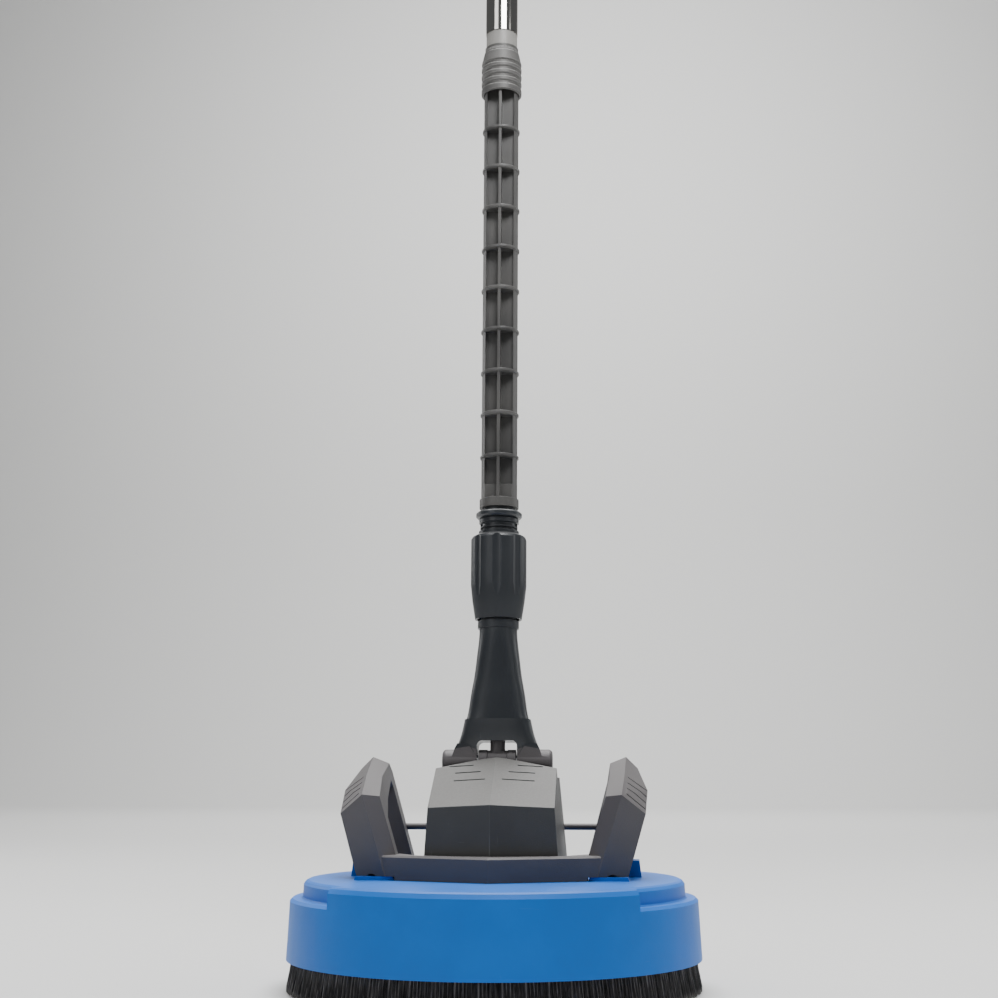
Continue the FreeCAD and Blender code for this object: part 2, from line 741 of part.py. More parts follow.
def make_neck_shells():
    """Front and rear halves of the fork that clasp the axle and the water pipe."""
    bosses = []
    for side in (-1, 1):
        start = Vector(side * size("arch_half_width"), 0, 0)
        length = size("boss_reach - arch_half_width")
        boss = Part.makeCylinder(size("boss_radius"), length, start, Vector(side, 0, 0))
        rims = [edge for edge in boss.Edges if abs(abs(edge.CenterOfMass.x) - size("boss_reach")) < 0.01]
        boss = boss.makeFillet(3, [edge for edge in rims if edge.Closed])
        inner = size("arch_half_width")
        leg_plan = [(inner, 0), (34, 0), (31.2, 9.2), (29.2, 13), (inner, 13)]
        points = [Vector(side * x, -8.6, z) for x, z in leg_plan]
        leg = Part.Face(Part.makePolygon(points + points[:1])).extrude(Vector(0, 17.2, 0))
        bosses.append(boss.fuse(leg))
    solid = lofted(FORK_STATIONS).fuse(lofted(NECK_STATIONS))
    for boss in bosses:
        solid = solid.fuse(boss)
    rim = Part.makeCylinder(size("neck_top_radius"), 5.5, Vector(0, 0, size("neck_top") - 5.5))
    solid = solid.fuse(rim)
    half = size("arch_half_width")
    arch = Part.makeBox(2 * half, 60, size("arch_top") + 20, Vector(-half, -30, -20))
    corners = [edge for edge in arch.Edges
               if abs(edge.CenterOfMass.z - size("arch_top")) < 0.01 and abs(abs(edge.CenterOfMass.x) - half) < 0.01]
    arch = arch.makeFillet(4, corners)
    solid = solid.cut(arch)
    hollow = lofted(NECK_STATIONS, size("neck_wall"))
    lid = Part.makeBox(80, 80, 200, Vector(-40, -40, 34))
    top_round = Part.makeCylinder(size("socket_radius"), 60, Vector(0, 0, 84))
    pipe_way = Part.makeCylinder(size("pipe_radius + running_gap"), 40, Vector(0, 0, 0))
    axle_way = Part.makeCylinder(size("axle_radius + running_gap"), 2 * size("boss_reach - 3"),
                                 Vector(-size("boss_reach - 3"), 0, 0), Vector(1, 0, 0))
    solid = solid.cut(hollow.common(lid)).cut(top_round).cut(pipe_way).cut(axle_way)
    front_box = Part.makeBox(120, 60, 200, Vector(-60, -60, -40))
    rear_box = Part.makeBox(120, 60, 200, Vector(-60, 0, -40))
    for name, box, label in (("NeckFront", front_box, "neck_front_shell"), ("NeckRear", rear_box, "neck_rear_shell")):
        shell = solid.common(box)
        keep(lean_back(shape_part(name, shell)), label)


def make_neck_inside():
    """Water eye on the axle, the pipe up the neck, and the socket for the lance."""
    eye = cut(
        join(
            cylinder("eye_radius", "2 * eye_half_width", "-eye_half_width", 0, 0, "x"),
            cylinder("pipe_radius", "18"),
        ),
        cylinder("axle_radius + running_gap", "2 * eye_half_width + 2", "-eye_half_width - 1", 0, 0, "x"),
        cylinder("water_bore", "20"),
    )
    keep(lean_back(eye), "swivel_eye")
    seals = [torus("axle_radius + 1.3", "0.9", along="x", x=f"{side} * (eye_half_width - 2)") for side in (-1, 1)]
    keep(lean_back(group(*seals)), "eye_seals")
    pipe = cut(cylinder("pipe_radius", "66", z="18"), cylinder("water_bore", "68", z="17"))
    keep(lean_back(pipe), "neck_pipe")
    socket = turned(
        "Socket",
        [
            ("water_bore", "84"),
            ("socket_radius - 0.1", "84"),
            ("socket_radius - 0.1", "collar_top - 8"),
            ("socket_bore", "collar_top - 8"),
            ("socket_bore", "110"),
            ("water_bore", "108"),
        ],
    )
    keep(lean_back(socket), "neck_socket")
    screws = []
    for x, z in ((-19, 24), (19, 24), (-11.5, 64), (11.5, 64)):
        head = cylinder("2.8", "1.6", x, "11.2", z, "y")
        shank = cylinder("1.3", "12", x, "0", z, "y")
        screws.append(join(head, shank))
    keep(lean_back(group(*screws)), "neck_screws")


def make_lock_collar():
    """Fluted collar that turns to lock the bayonet plug in the neck's socket."""
    body = turned(
        "LockCollar",
        [
            ("neck_top_radius + 0.5", "collar_bottom"),
            ("collar_bottom_radius", "collar_bottom"),
            ("collar_radius - 1.4", "collar_bottom + 13.5"),
            ("collar_radius", "collar_bottom + 26"),
            ("collar_radius", "collar_top - 3.8"),
            ("collar_radius - 1", "collar_top - 2"),
            ("collar_radius - 3.6", "collar_top - 0.5"),
            ("collar_radius - 4.4", "collar_top"),
            ("flange_radius - 1.8", "collar_top"),
            ("flange_radius - 1.8", "collar_top - 9"),
            ("socket_radius + 0.4", "collar_top - 9"),
            ("socket_radius + 0.4", "collar_bottom + 7"),
            ("neck_top_radius + 0.5", "collar_bottom + 7"),
        ],
    )
    doc.recompute()
    sketch = body.newObject("Sketcher::SketchObject", "FluteOutline")
    sketch.AttachmentSupport = [(origin_plane(body, "XY_Plane"), "")]
    sketch.MapMode = "FlatFace"
    flute_radius = 7.2
    reach = size("collar_radius") + flute_radius - 1.1
    sketch.addGeometry(Part.Circle(Vector(0, -reach, 0), Vector(0, 0, 1), flute_radius), False)
    sketch.addConstraint(Sketcher.Constraint("Radius", 0, flute_radius))
    sketch.addConstraint(Sketcher.Constraint("PointOnObject", 0, 3, -2))
    index = sketch.addConstraint(Sketcher.Constraint("DistanceY", -1, 1, 0, 3, -reach))
    sketch.setExpression(f"Constraints[{index}]", bound(f"-(collar_radius + {flute_radius} - 1.1)"))
    whole = body.Shape.Volume
    flute = body.newObject("PartDesign::Pocket", "Flute")
    flute.Profile = sketch
    flute.Reversed = True
    bind(flute, Length="collar_top + 1")
    around = body.newObject("PartDesign::PolarPattern", "Flutes")
    around.Originals = [flute]
    around.Axis = (next(item for item in body.Origin.OriginFeatures if item.Role == "Z_Axis"), [""])
    around.Angle = 360
    around.Occurrences = 8
    body.Tip = around
    doc.recompute()
    if body.Shape.Volume > whole - 500:
        raise RuntimeError("the collar's flutes did not cut")
    keep(lean_back(body), "lock_collar")


def make_plug():
    """Bayonet plug at the extension's foot; its ringed head shows above the collar."""
    body = turned(
        "BayonetPlug",
        [
            ("core_tube_radius", "116"),
            ("socket_bore - 2.6", "116"),
            ("socket_bore - 2.6", "124"),
            ("socket_bore - 0.04", "126"),
            ("socket_bore - 0.04", "collar_top - 7.5"),
            ("flange_radius - 2.2", "collar_top - 7.5"),
            ("flange_radius - 2.2", "collar_top + 2.6"),
            ("flange_radius - 4.4", "collar_top + 3.4"),
            ("flange_radius - 4.4", "collar_top + 4.4"),
            ("flange_radius - 3.2", "collar_top + 4.7"),
            ("flange_radius - 3.2", "collar_top + 5.6"),
            ("flange_radius - 4.4", "collar_top + 5.9"),
            ("flange_radius - 4.4", "collar_top + 8"),
            ("flange_radius - 2.4", "collar_top + 8.8"),
            ("flange_radius - 2.4", "collar_top + 11.6"),
            ("flange_radius - 3.6", "collar_top + 12.2"),
            ("flange_radius - 1", "collar_top + 13"),
            ("flange_radius", "collar_top + 14"),
            ("flange_radius", "collar_top + 16.2"),
            ("flange_radius - 1.2", "collar_top + 17.4"),
            ("flange_radius - 4.8", "collar_top + 18"),
            ("flange_radius - 4.8", "cover_bottom"),
            ("core_tube_radius", "cover_bottom"),
        ],
    )
    lugs = [block("3.4", "5", "7", f"{side} * 12.2 - 1.7", "-2.5", "collar_top + 2") for side in (-1, 1)]
    keep(lean_back(join(body, *lugs)), "bayonet_plug")
    seals = [torus("socket_bore - 2", "0.6", z) for z in ("118.6", "121.4")]
    keep(lean_back(group(*seals)), "plug_seals")


def make_extension():
    """Ribbed cover over the steel core tube: nine rings, two webs, boxed bays."""
    tube = cut(
        cylinder("core_tube_radius", "lance_top - 126", z="118"),
        cylinder("water_bore", "lance_top - 120", z="116"),
    )
    keep(lean_back(tube), "core_tube")
    rings = []
    for number in range(int(size("rib_count"))):
        centre = f"rib_first + {number} * rib_pitch"
        rings.append(cylinder("rib_radius - 0.5", "rib_thickness", z=f"{centre} - rib_thickness / 2"))
        rings.append(cylinder("rib_radius", "rib_thickness - 1", z=f"{centre} - rib_thickness / 2 + 0.5"))
    solid = join(
        cylinder("cover_radius", "cover_top - cover_bottom", z="cover_bottom"),
        cylinder("cover_collar_radius", "6.8", z="cover_bottom"),
        *rings,
    )
    pockets = [cylinder("core_tube_radius", "cover_top - cover_bottom + 2", z="cover_bottom - 1")]
    bays = int(size("rib_count")) + 1
    for number in range(bays):
        bottom = f"rib_first + {number - 1} * rib_pitch + rib_thickness / 2 + 0.4"
        height = "rib_pitch - rib_thickness - 0.8"
        if number == 0:
            bottom = "cover_bottom + 17.5"
            height = "rib_first - rib_thickness / 2 - cover_bottom - 17.9"
        if number == bays - 1:
            height = f"cover_top - 4 - ({bottom})"
        for side in (-1, 1):
            for front in (-1, 1):
                x = "web_half" if side > 0 else "-pocket_side"
                y = "pocket_floor" if front > 0 else "-pocket_floor - 12"
                pockets.append(block("pocket_side - web_half", "12", height, x, y, bottom))
    for side in (-1, 1):
        for front in (-1, 1):
            x = "web_half" if side > 0 else "-pocket_side"
            y = "pocket_floor + 4" if front > 0 else "-pocket_floor - 16"
            pockets.append(block("pocket_side - web_half", "12", "10.5", x, y, "cover_bottom + 7.2"))
    keep(lean_back(cut(solid, *pockets)), "extension_cover")


def make_lock_ring():
    """Ribbed ring that turns to lock the upper lance in the extension."""
    pitch = "ring_pitch"
    outer = [("ring_radius - 0.8", "ring_bottom"), ("ring_radius", "ring_bottom + 0.9")]
    for number in range(5):
        top = f"ring_bottom + 5.4 + {number} * {pitch}"
        outer.append(("ring_radius", f"{top} - 0.7"))
        outer.append(("ring_radius - 0.5", f"{top}"))
        outer.append(("ring_groove_radius", f"{top} + 0.3"))
        outer.append(("ring_groove_radius", f"{top} + 2.3"))
        outer.append(("ring_radius - 0.5", f"{top} + 2.6"))
        outer.append(("ring_radius", f"{top} + 3.2"))
    outer = outer[:-6]
    outer += [
        ("ring_radius - 1.2", "ring_top - 9"),
        ("ring_radius - 1.9", "ring_top - 5.6"),
        ("ring_radius - 2.4", "ring_top - 5.2"),
        ("ring_radius - 2.2", "ring_top - 4.4"),
        ("ring_radius - 3.0", "ring_top - 2.4"),
        ("ring_radius - 2.9", "ring_top - 1.6"),
        ("sleeve_radius + 0.9", "ring_top"),
    ]
    inner = [
        ("sleeve_radius + 0.4", "ring_top"),
        ("sleeve_radius + 0.4", "cover_top + 0.4"),
        ("cover_radius + 0.4", "cover_top + 0.4"),
        ("cover_radius + 0.4", "ring_bottom"),
    ]
    keep(lean_back(turned("LockRing", outer + inner)), "lock_ring")


def make_upper_lance():
    """Grey joint sleeve, the chromed lance tube, its end cap and the quick plug."""
    sleeve = turned(
        "LanceSleeve",
        [
            ("core_tube_radius", "cover_top"),
            ("sleeve_radius", "cover_top"),
            ("sleeve_radius", "sleeve_top - 0.8"),
            ("sleeve_radius - 0.3", "sleeve_top"),
            ("lance_radius - lance_wall", "sleeve_top"),
            ("lance_radius - lance_wall", "sleeve_top + 18"),
            ("core_tube_radius", "sleeve_top + 18"),
        ],
    )
    keep(lean_back(sleeve), "lance_sleeve")
    tube = cut(
        cylinder("lance_radius", "lance_top - sleeve_top", z="sleeve_top"),
        cylinder("lance_radius - lance_wall", "lance_top - sleeve_top + 2", z="sleeve_top - 1"),
    )
    keep(lean_back(tube), "lance_tube")
    cap = turned(
        "LanceCap",
        [
            ("core_tube_radius", "lance_top - 18"),
            ("lance_radius - lance_wall", "lance_top - 18"),
            ("lance_radius - lance_wall", "lance_top"),
            ("lance_radius + 1.3", "lance_top"),
            ("lance_radius + 1.3", "lance_top + 10"),
            ("lance_radius - 1", "lance_top + 14"),
            ("core_tube_radius", "lance_top + 14"),
        ],
    )
    keep(lean_back(cap), "lance_end_cap")
    plug = turned(
        "QuickPlug",
        [
            ("water_bore", "lance_top - 8"),
            ("core_tube_radius", "lance_top - 8"),
            ("core_tube_radius", "lance_top + 14"),
            ("plug_radius + 2", "lance_top + 14"),
            ("plug_radius + 2", "lance_top + 17"),
            ("plug_radius", "lance_top + 17"),
            ("plug_radius", "lance_top + 17 + plug_length"),
            ("plug_radius - 1.4", "lance_top + 17 + plug_length"),
            ("plug_radius - 1.4", "lance_top + 20 + plug_length"),
            ("plug_radius - 2", "lance_top + 20 + plug_length"),
            ("plug_radius - 2", "lance_top + 24 + plug_length"),
            ("water_bore", "lance_top + 24 + plug_length"),
        ],
    )
    keep(lean_back(plug), "quick_plug")
    seal = torus("plug_radius - 1.3", "0.7", "lance_top + 21 + plug_length")
    keep(lean_back(group(seal)), "quick_plug_seal")


def screw_group(label, spots, head_radius, head_height, shank_radius, shank_length):
    """Equal screws; each spot is its head's seat, with the shank going up or down."""
    screws = []
    for x, y, z, up in spots:
        head = cylinder(head_radius, head_height, x, y, z if not up else f"{z} - {head_height}")
        shank = cylinder(shank_radius, shank_length, x, y, f"{z} - {shank_length}" if not up else z)
        screws.append(join(head, shank))
    keep(group(*screws), label)


def make_screws():
    under_deck = "hood_deck_height - hood_wall"
    frame_spots = [(x, y, under_deck, True) for x, y in ((-78, -22), (78, -22), (-78, 63), (78, 63))]
    screw_group("frame_screws", frame_spots, "4", "2.4", "2", "12")
    hub_spots = []
    for number in range(4):
        turn = math.radians(45 + 90 * number)
        reach = size("hub_radius + 6.4")
        x = f"{reach * math.cos(turn):.3f}"
        y = f"{reach * math.sin(turn):.3f}"
        hub_spots.append((x, y, "hood_deck_height + hub_flange_thickness", False))
    screw_group("hub_screws", hub_spots, "3.4", "2.4", "1.8", "10")
    cover_spots = [(x, y, under_deck, True) for x, y in COVER_POSTS]
    screw_group("cover_screws", cover_spots, "3.4", "2.2", "1.5", "12")


make_hood()
make_brush()
make_hub()
make_rotor()
make_pivot()
make_cover()
make_handle_frame()
make_neck_shells()
make_neck_inside()
make_lock_collar()
make_plug()
make_extension()
make_lock_ring()
make_upper_lance()
make_screws()
doc.recompute()

failed = [item.Name for item in doc.Objects if "Invalid" in item.State or "Error" in item.State]
if failed:
    raise RuntimeError("objects failed: " + ", ".join(failed))
os.makedirs("parts", exist_ok=True)
for item in parts:
    shape = item.Shape
    if shape.isNull() or not shape.isValid():
        raise RuntimeError("bad shape: " + item.Label)
    shape.exportStep(f"parts/{item.Label}.step")
    box = shape.BoundBox
    print(f"{item.Label:22s} {len(shape.Solids):3d} solids {shape.Volume / 1000:9.2f} cm3  "
          f"x {box.XMin:.1f}..{box.XMax:.1f} y {box.YMin:.1f}..{box.YMax:.1f} z {box.ZMin:.1f}..{box.ZMax:.1f}")
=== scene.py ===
import math
import random

import bpy
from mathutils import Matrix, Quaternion, Vector


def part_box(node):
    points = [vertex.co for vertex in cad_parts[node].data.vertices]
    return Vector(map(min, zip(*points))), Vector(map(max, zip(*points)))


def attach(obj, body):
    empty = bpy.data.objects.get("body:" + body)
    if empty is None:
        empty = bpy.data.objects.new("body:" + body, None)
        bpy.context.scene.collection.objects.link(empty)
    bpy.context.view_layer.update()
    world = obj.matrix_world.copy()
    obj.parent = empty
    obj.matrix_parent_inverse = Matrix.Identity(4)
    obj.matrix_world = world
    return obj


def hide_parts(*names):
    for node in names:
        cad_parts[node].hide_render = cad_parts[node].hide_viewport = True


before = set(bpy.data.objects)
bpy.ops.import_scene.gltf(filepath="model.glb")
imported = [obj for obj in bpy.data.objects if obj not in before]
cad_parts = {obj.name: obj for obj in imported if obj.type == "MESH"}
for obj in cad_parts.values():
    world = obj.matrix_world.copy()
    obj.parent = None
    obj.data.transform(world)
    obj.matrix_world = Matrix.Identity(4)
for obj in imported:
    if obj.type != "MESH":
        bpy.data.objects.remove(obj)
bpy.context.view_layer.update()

bpy.ops.object.select_all(action="DESELECT")

# ---- The studio
# A pale seamless floor that curves up into a backdrop. Soft discs light the tool from
# above, from the left and right in front and from both sides behind. Two more serve
# the top of the lance and the backdrop.

FLOOR_SIZE = 9.0
FLOOR_FRONT = 3.2
BACKDROP_HEIGHT = 4
COVE_RADIUS = 1.2
FLOOR_TONE = (0.66, 0.66, 0.65)
CAMERA_PLACE = (0.0959, -1.2601, 0.1598)
CAMERA_PITCH = 98.48
CAMERA_TURN = 4.2
CAMERA_LENS = 62.9
SENSOR_WIDTH = 36
SKY_TONE = (0.9, 0.92, 0.95)
SKY_STRENGTH = 0.14

bpy.ops.mesh.primitive_plane_add(size=FLOOR_SIZE, location=(0, FLOOR_SIZE / 2 - FLOOR_FRONT, 0))
floor = bpy.context.object
floor.name = "studio_floor"
bpy.ops.object.mode_set(mode="EDIT")
bpy.ops.mesh.select_mode(type="EDGE")
bpy.ops.mesh.select_all(action="DESELECT")
bpy.ops.object.mode_set(mode="OBJECT")
for edge in floor.data.edges:
    edge.select = all(floor.data.vertices[v].co.y > 0 for v in edge.vertices)
bpy.ops.object.mode_set(mode="EDIT")
bpy.ops.mesh.extrude_region_move(TRANSFORM_OT_translate={"value": (0, 0, BACKDROP_HEIGHT)})
bpy.ops.object.mode_set(mode="OBJECT")
cove = floor.modifiers.new("cove", "BEVEL")
cove.width = COVE_RADIUS
cove.segments = 24
bpy.ops.object.modifier_apply(modifier="cove")
bpy.ops.object.shade_smooth()
bpy.ops.object.transform_apply(location=True)
floor_paint = bpy.data.materials.new("studio_floor")
floor_paint.use_nodes = True
floor_shader = floor_paint.node_tree.nodes["Principled BSDF"]
floor_shader.inputs["Base Color"].default_value = (*FLOOR_TONE, 1)
floor_shader.inputs["Roughness"].default_value = 0.85
floor.data.materials.append(floor_paint)

# name, place, size, power, what it is aimed at
LIGHTS = [
    ("key_light", (-1.5, -1.9, 1.7), 1.5, 14, (0, 0, 0.2)),
    ("right_light", (2.2, -0.9, 1.5), 1.1, 6, (0, 0, 0.25)),
    ("top_light", (0.0, 0.55, 2.7), 2.1, 145, (0, 0, 0.2)),
    ("left_rim", (-1.7, 1.2, 1.0), 0.8, 7, (0, 0, 0.3)),
    ("right_rim", (1.8, 1.1, 1.0), 0.8, 5, (0, 0, 0.3)),
    ("lance_light", (0.15, -0.35, 1.08), 0.3, 5.2, (0, 0.05, 0.70)),
    ("backdrop_light", (0.0, 3.0, 3.0), 2.0, 170, (0, 5.8, 1.0)),
]
for light_name, place, light_size, power, target in LIGHTS:
    bpy.ops.object.light_add(type="AREA", location=place)
    light = bpy.context.object
    light.name = light_name
    light.visible_camera = False
    light.data.shape = "DISK"
    light.data.size = light_size
    light.data.energy = power
    aim = Vector(target) - Vector(place)
    light.rotation_euler = aim.to_track_quat("-Z", "Y").to_euler()
world = bpy.context.scene.world or bpy.data.worlds.new("studio")
bpy.context.scene.world = world
world.use_nodes = True
sky = world.node_tree.nodes["Background"]
sky.inputs["Color"].default_value = (*SKY_TONE, 1)
sky.inputs["Strength"].default_value = SKY_STRENGTH

bpy.ops.object.camera_add(location=CAMERA_PLACE)
camera = bpy.context.object
camera.rotation_euler = (math.radians(CAMERA_PITCH), 0, math.radians(CAMERA_TURN))
camera.data.lens = CAMERA_LENS
camera.data.sensor_width = SENSOR_WIDTH
bpy.context.scene.camera = camera
bpy.ops.object.select_all(action="DESELECT")

# ---- The hood
# A blow-moulded bell in blue polypropylene with a raised front sector, two tabs and
# two low pads. It is satin and finely grained by its mould. Its top is a little lighter,
# partly dust and partly painted top light, and its rounded edges carry a painted highlight.

HOOD_BLUE = (0.002, 0.136, 0.545)
HOOD_BLUE_DEEP = (0.001, 0.125, 0.50)
# A lighter blue for the hood's rounded edges: a painted edge highlight.
HOOD_EDGE_HIGHLIGHT_BLUE = (0.01, 0.175, 0.59)
# A pale grey for dust, and for a painted top light on upward faces.
DUST_AND_TOP_LIGHT_GREY = (0.36, 0.35, 0.33)
MERGE_REACH = 2e-6


class Value:
    """A number that varies over a surface; sums and products of it add Math nodes."""

    def __init__(self, finish, socket):
        self.finish = finish
        self.socket = socket

    def maths(self, operation, first, second):
        return self.finish.node("Math", {"operation": operation}, {0: first, 1: second})

    def __add__(self, other):
        return self.maths("ADD", self, other)

    def __radd__(self, other):
        return self.maths("ADD", other, self)

    def __sub__(self, other):
        return self.maths("SUBTRACT", self, other)

    def __mul__(self, other):
        return self.maths("MULTIPLY", self, other)


class Finish:
    """One finish of the tool: a material, with methods for what varies over it."""

    def __init__(self, name, fixed):
        self.material = bpy.data.materials.new(name)
        self.material.use_nodes = True
        self.tree = self.material.node_tree
        self.shader = self.tree.nodes["Principled BSDF"]
        self.feed(self.shader, fixed)

    def feed(self, node, values):
        for name, value in values.items():
            socket = node.inputs[name]
            if isinstance(value, Value):
                self.tree.links.new(value.socket, socket)
            elif socket.type == "RGBA":
                socket.default_value = (*value, 1)
            else:
                socket.default_value = value

    def node(self, kind, settings, values, output=0):
        made = self.tree.nodes.new("ShaderNode" + kind)
        for name, setting in settings.items():
            setattr(made, name, setting)
        self.feed(made, values)
        return Value(self, made.outputs[output])

    def place(self, stretch=(1, 1, 1)):
        spot = self.node("TexCoord", {}, {}, "Object")
        return self.node("Mapping", {}, {"Vector": spot, "Scale": stretch})

    def clouds(self, scale, detail=3.0, stretch=(1, 1, 1)):
        return self.node("TexNoise", {}, {"Vector": self.place(stretch), "Scale": scale, "Detail": detail})

    def pits(self, scale):
        return self.node("TexVoronoi", {}, {"Vector": self.place(), "Scale": scale})

    def step(self, value, low, high):
        limits = {"Value": value, "From Min": low, "From Max": high}
        return self.node("MapRange", {"interpolation_type": "SMOOTHSTEP"}, limits)

    def height(self):
        return self.node("SeparateXYZ", {}, {"Vector": self.place()}, "Z")

    def facing_up(self):
        normal = self.node("NewGeometry", {}, {}, "Normal")
        return self.node("SeparateXYZ", {}, {"Vector": normal}, "Z")

    def tint(self, share, first, second):
        return self.node("Mix", {"data_type": "RGBA"}, {0: share, 6: first, 7: second}, 2)

    def relief(self, height, distance):
        return self.node("Bump", {}, {"Height": height, "Distance": distance})

    def apply_surface(self, colour, roughness, height, distance):
        surface = {"Base Color": colour, "Roughness": roughness, "Normal": self.relief(height, distance)}
        self.feed(self.shader, surface)
        return self.material


def moulded_plastic(name, light, deep, roughness, grain, dust_and_top_light, scuffs, shine=0.5):
    """Injection-moulded plastic: mottled, grained, thinly scratched, and lighter on top from dust and a
    painted top light.
    """
    finish = Finish(name, {"IOR": 1.49, "Specular IOR Level": shine})
    mottle = finish.step(finish.clouds(22, 5), 0.35, 0.68)
    fine_grain = finish.clouds(1900, 2)
    cells = finish.pits(1250)
    # Upward faces are tinted in patches towards the pale grey: partly dust, partly a painted top light and
    # sheen.
    dust_and_top_light_patches = 0.74 + finish.step(finish.clouds(640, 4), 0.3, 0.8) * 0.26
    dust_and_top_light_mask = finish.step(finish.facing_up(), 0.5, 0.95) * dust_and_top_light_patches
    specks = finish.step(finish.pits(230), 0.09, 0.04) * finish.step(finish.clouds(17, 2), 0.5, 0.62)
    scratch_a = finish.step(finish.clouds(38, 7, (1, 1, 16)), 0.70, 0.73)
    scratch_b = finish.step(finish.clouds(26, 7, (14, 14, 1)), 0.71, 0.74)
    scratches = (scratch_a + scratch_b) * scuffs
    body = finish.tint(mottle, deep, light)
    dust_and_top_light_colour = finish.tint(dust_and_top_light_mask * dust_and_top_light + specks * dust_and_top_light * 0.8, body, DUST_AND_TOP_LIGHT_GREY)
    pale = tuple(0.55 * channel + 0.16 for channel in light)
    colour = finish.tint(scratches * 0.2, dust_and_top_light_colour, pale)
    rough = roughness + mottle * 0.05 + dust_and_top_light_mask * dust_and_top_light * 0.3 - scratches * 0.08 + fine_grain * 0.06
    return finish.apply_surface(colour, rough, fine_grain * 0.6 + cells * 0.5 - scratches * 0.4, grain)


def chosen(piece):
    """Makes a piece the only selected and active one."""
    bpy.ops.object.select_all(action="DESELECT")
    piece.select_set(True)
    bpy.context.view_layer.objects.active = piece
    return piece


def settle(piece, body):
    """Gives a finished piece its body."""
    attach(piece, body)
    bpy.ops.object.select_all(action="DESELECT")
    return piece


def softened(node, body, width, finishes, angle=24, steps=2):
    """A node's own faces merged into whole convex ones, with its edges rounded."""
    piece = bpy.data.objects.new(node + "_piece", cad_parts[node].data.copy())
    bpy.context.collection.objects.link(piece)
    chosen(piece)
    bpy.ops.object.mode_set(mode="EDIT")
    bpy.ops.mesh.select_all(action="SELECT")
    bpy.ops.mesh.customdata_custom_splitnormals_clear()
    bpy.ops.mesh.remove_doubles(threshold=MERGE_REACH)
    bpy.ops.mesh.dissolve_limited(angle_limit=math.radians(0.4))
    bpy.ops.mesh.select_all(action="SELECT")
    bpy.ops.mesh.vert_connect_concave()
    bpy.ops.object.mode_set(mode="OBJECT")
    piece.data.materials.clear()
    for material in finishes:
        piece.data.materials.append(material)
    rounding = piece.modifiers.new("rounding", "BEVEL")
    rounding.width = width
    rounding.segments = steps
    rounding.limit_method = "ANGLE"
    rounding.angle_limit = math.radians(angle)
    # The rounded edges take the last finish. Where that is a lighter copy of the first, it is a painted edge
    # highlight.
    rounding.material = len(finishes) - 1
    bpy.ops.object.modifier_apply(modifier="rounding")
    bpy.ops.object.shade_smooth_by_angle(angle=math.radians(38))
    shading = piece.modifiers.new("shading", "WEIGHTED_NORMAL")
    shading.keep_sharp = True
    bpy.ops.object.modifier_apply(modifier="shading")
    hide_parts(node)
    return settle(piece, body)


hood_plastic = moulded_plastic("hood_blue", HOOD_BLUE, HOOD_BLUE_DEEP, 0.42, 0.00007, 0.06, 0.4, 0.3)
# The rounded edges get the lighter blue: a painted edge highlight.
hood_edge_highlight = moulded_plastic("hood_blue_edge_highlight", HOOD_EDGE_HIGHLIGHT_BLUE, HOOD_BLUE, 0.34, 0.00005, 0.06, 0.8)
softened("hood", "head", 0.0011, [hood_plastic, hood_edge_highlight], 18, 3)

# ---- The stiffening ribs
# Twelve radial ribs with rounded edges, moulded under the deck, where only someone
# who turns the tool over sees them.

RIB_COUNT = 12
RIB_TURN = math.radians(9)
RIB_MIDDLE = 0.083
RIB_LENGTH = 0.088
RIB_THICKNESS = 0.002
RIB_HEIGHT = 0.008
RIB_ROUND = 0.0006
DECK_ABOVE_SCREWS = 0.0028
rib_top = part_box("hub_screws")[0].z + DECK_ABOVE_SCREWS
bpy.ops.mesh.primitive_cube_add(size=1, location=(RIB_MIDDLE, 0, rib_top - RIB_HEIGHT / 2))
ribs = bpy.context.object
ribs.name = "hood_ribs"
ribs.scale = (RIB_LENGTH, RIB_THICKNESS, RIB_HEIGHT)
bpy.ops.object.transform_apply(location=True, scale=True)
bpy.ops.object.mode_set(mode="EDIT")
bpy.ops.mesh.select_all(action="SELECT")
bpy.ops.mesh.bevel(offset=RIB_ROUND, segments=2, affect="EDGES")
bpy.ops.mesh.select_all(action="SELECT")
bpy.ops.transform.rotate(value=-RIB_TURN, orient_axis="Z", center_override=(0, 0, 0))
bpy.ops.mesh.spin(steps=RIB_COUNT - 1, dupli=True, angle=math.tau * (RIB_COUNT - 1) / RIB_COUNT,
                  center=(0, 0, 0), axis=(0, 0, 1))
bpy.ops.object.mode_set(mode="OBJECT")
ribs.data.materials.append(hood_plastic)
bpy.ops.object.shade_smooth_by_angle(angle=math.radians(38))
settle(ribs, "head")

# ---- The brush skirt
# Crimped nylon bristles, black with silver-grey ones among them, set in a carrier
# ring inside the hood's foot. They splay outwards a little and differ in length.

BRISTLE_SEGMENTS = 60
BRISTLE_ROWS = 8
BRISTLES_IN_ROW = 26
BRISTLE_RADIUS = 0.00026
BRISTLE_TAPER = 0.62
ROOT_INNER = 0.1322
ROOT_OUTER = 0.1415
TIP_SPLAY = 0.001
TIP_INSET = 0.0006
SILVER_SHARE = 0.3
FLOOR_GAP = 0.0008
LENGTH_VARIES = 0.0035
SPACING_VARIES = 0.35
SWING = 0.0011
REACH_VARIES = 0.0003
ROOT_SUNK = 0.0006
TIP_SCATTER = 0.0005
random.seed(11)
bristle_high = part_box("brush_bristles")[1]
skirt_top = bristle_high.z
tip_outer = bristle_high.x - TIP_INSET


def nylon(name, light, deep, roughness):
    finish = Finish(name, {"Specular IOR Level": 0.4})
    streak = finish.step(finish.clouds(420, 3, (1, 1, 0.12)), 0.35, 0.7)
    tip_dust = finish.step(finish.height(), 0.006, 0.001) * 0.3
    colour = finish.tint(streak, deep, light)
    return finish.apply_surface(finish.tint(tip_dust, colour, DUST_AND_TOP_LIGHT_GREY), roughness + streak * 0.1, streak, 0.00005)


